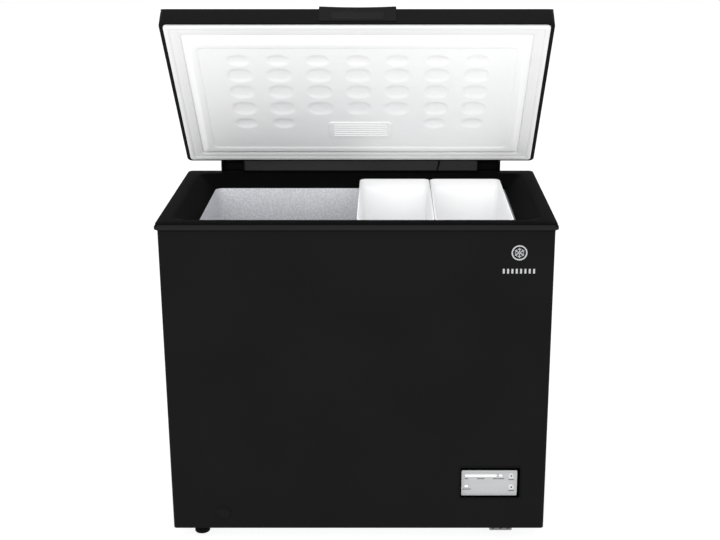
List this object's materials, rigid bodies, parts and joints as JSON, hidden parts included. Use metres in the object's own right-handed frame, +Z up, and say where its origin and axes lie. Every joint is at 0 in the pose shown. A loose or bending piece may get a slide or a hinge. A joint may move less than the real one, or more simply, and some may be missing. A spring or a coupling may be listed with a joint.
{
  "type": "chest freezer",
  "caption": "Black chest freezer with a propped hinged lid, embossed aluminium liner, hanging baskets, front controls and a front drain.",
  "frame": {"origin": "on the floor, in the middle of the footprint with the lid propped open", "axes": "+X to the right seen from the front, +Y to the rear, +Z up"},
  "size_m": [0.905, 0.55, 1.2568],
  "materials": {
    "black_sheet": "satin",
    "frame_plastic": "satin",
    "black_plastic": "satin",
    "hinge_black": "matte",
    "strip_grey": "matte",
    "lid_white": "satin",
    "white_plastic": "satin",
    "gasket_white": "matte",
    "basket_white": "satin",
    "stucco_aluminium": "satin",
    "foam": "matte",
    "zinc": "satin",
    "copper": "satin",
    "silver_plastic": "satin",
    "button_plastic": "satin",
    "lens_white": "gloss",
    "board": "satin",
    "rubber": "matte",
    "foot_grey": "matte",
    "compressor_shell": "satin",
    "badge_metal": "satin"
  },
  "bodies": {
    "cabinet": {"outer_wrap": "black_sheet", "rear_panel": "zinc", "rear_machine_cover": "black_plastic", "cord_gland": "black_plastic", "side_grille": "black_plastic", "bottom_pan": "zinc", "inner_liner": "stucco_aluminium", "evaporator_tube": "copper", "condenser_tube": "copper", "drain_hose": "white_plastic", "foam_insulation": "foam", "compressor_tray": "zinc", "compressor": "compressor_shell", "compressor_grommet_1": "rubber", "compressor_grommet_2": "rubber", "compressor_grommet_3": "rubber", "compressor_grommet_4": "rubber", "compressor_terminal_cover": "black_plastic", "suction_pipe": "copper", "discharge_pipe": "copper", "filter_drier": "copper", "capillary_tube": "copper", "top_frame": "frame_plastic", "control_bezel": "black_plastic", "control_faceplate": "silver_plastic", "light_bar_lens": "lens_white", "fast_freeze_lens": "lens_white", "power_lens": "lens_white", "control_board": "board", "foot_front_left": "rubber", "foot_rear_left": "rubber", "foot_front_right": "foot_grey", "foot_rear_right": "foot_grey", "hinge_left_housing": "hinge_black", "hinge_left_pin": "zinc", "hinge_left_spring": "zinc", "hinge_right_housing": "hinge_black", "hinge_right_pin": "zinc", "hinge_right_spring": "zinc", "rear_wiring_strip": "strip_grey", "lamp_lead": "rubber", "front_badge": "badge_metal"},
    "lid": {"lid_shell": "black_sheet", "lid_rail_left": "black_plastic", "lid_rail_right": "black_plastic", "lid_liner": "lid_white", "lid_gasket": "gasket_white", "lamp_board": "board", "lamp_cover": "lens_white", "lid_foam": "foam", "lid_handle": "black_plastic", "lead_grommet": "rubber", "hinge_left_arm": "hinge_black", "hinge_right_arm": "hinge_black"},
    "temperature_button": {"temperature_button": "button_plastic"},
    "fast_freeze_button": {"fast_freeze_button": "button_plastic"},
    "drain_cap": {"drain_cap": "black_plastic"},
    "drain_plug": {"drain_plug": "white_plastic"},
    "basket_right": {"basket_right": "basket_white"},
    "basket_left": {"basket_left": "basket_white"}
  },
  "joints": [
    {"name": "lid_hinge", "type": "hinge", "parent": "cabinet", "child": "lid", "pos_m": [0, 0.2546, 0.8211], "axis": [1, 0, 0], "range_deg": [-29.24, 50.76], "deforming": ["lamp_lead"]},
    {"name": "temperature_button_press", "type": "slide", "parent": "cabinet", "child": "temperature_button", "axis": [0, 1, 0], "range_m": [0, 0.001], "stiffness_N_per_m": 600},
    {"name": "fast_freeze_button_press", "type": "slide", "parent": "cabinet", "child": "fast_freeze_button", "axis": [0, 1, 0], "range_m": [0, 0.001], "stiffness_N_per_m": 600},
    {"name": "drain_cap_pull", "type": "slide", "parent": "cabinet", "child": "drain_cap", "axis": [0, -1, 0], "range_m": [0, 0.025]},
    {"name": "drain_plug_lift", "type": "slide", "parent": "cabinet", "child": "drain_plug", "axis": [0, 0, 1], "range_m": [0, 0.03]},
    {"name": "basket_right_slide", "type": "slide", "parent": "cabinet", "child": "basket_right", "axis": [1, 0, 0], "range_m": [-0.175, 0]},
    {"name": "basket_left_slide", "type": "slide", "parent": "basket_right", "child": "basket_left", "axis": [1, 0, 0], "range_m": [-0.175, 0]}
  ]
}
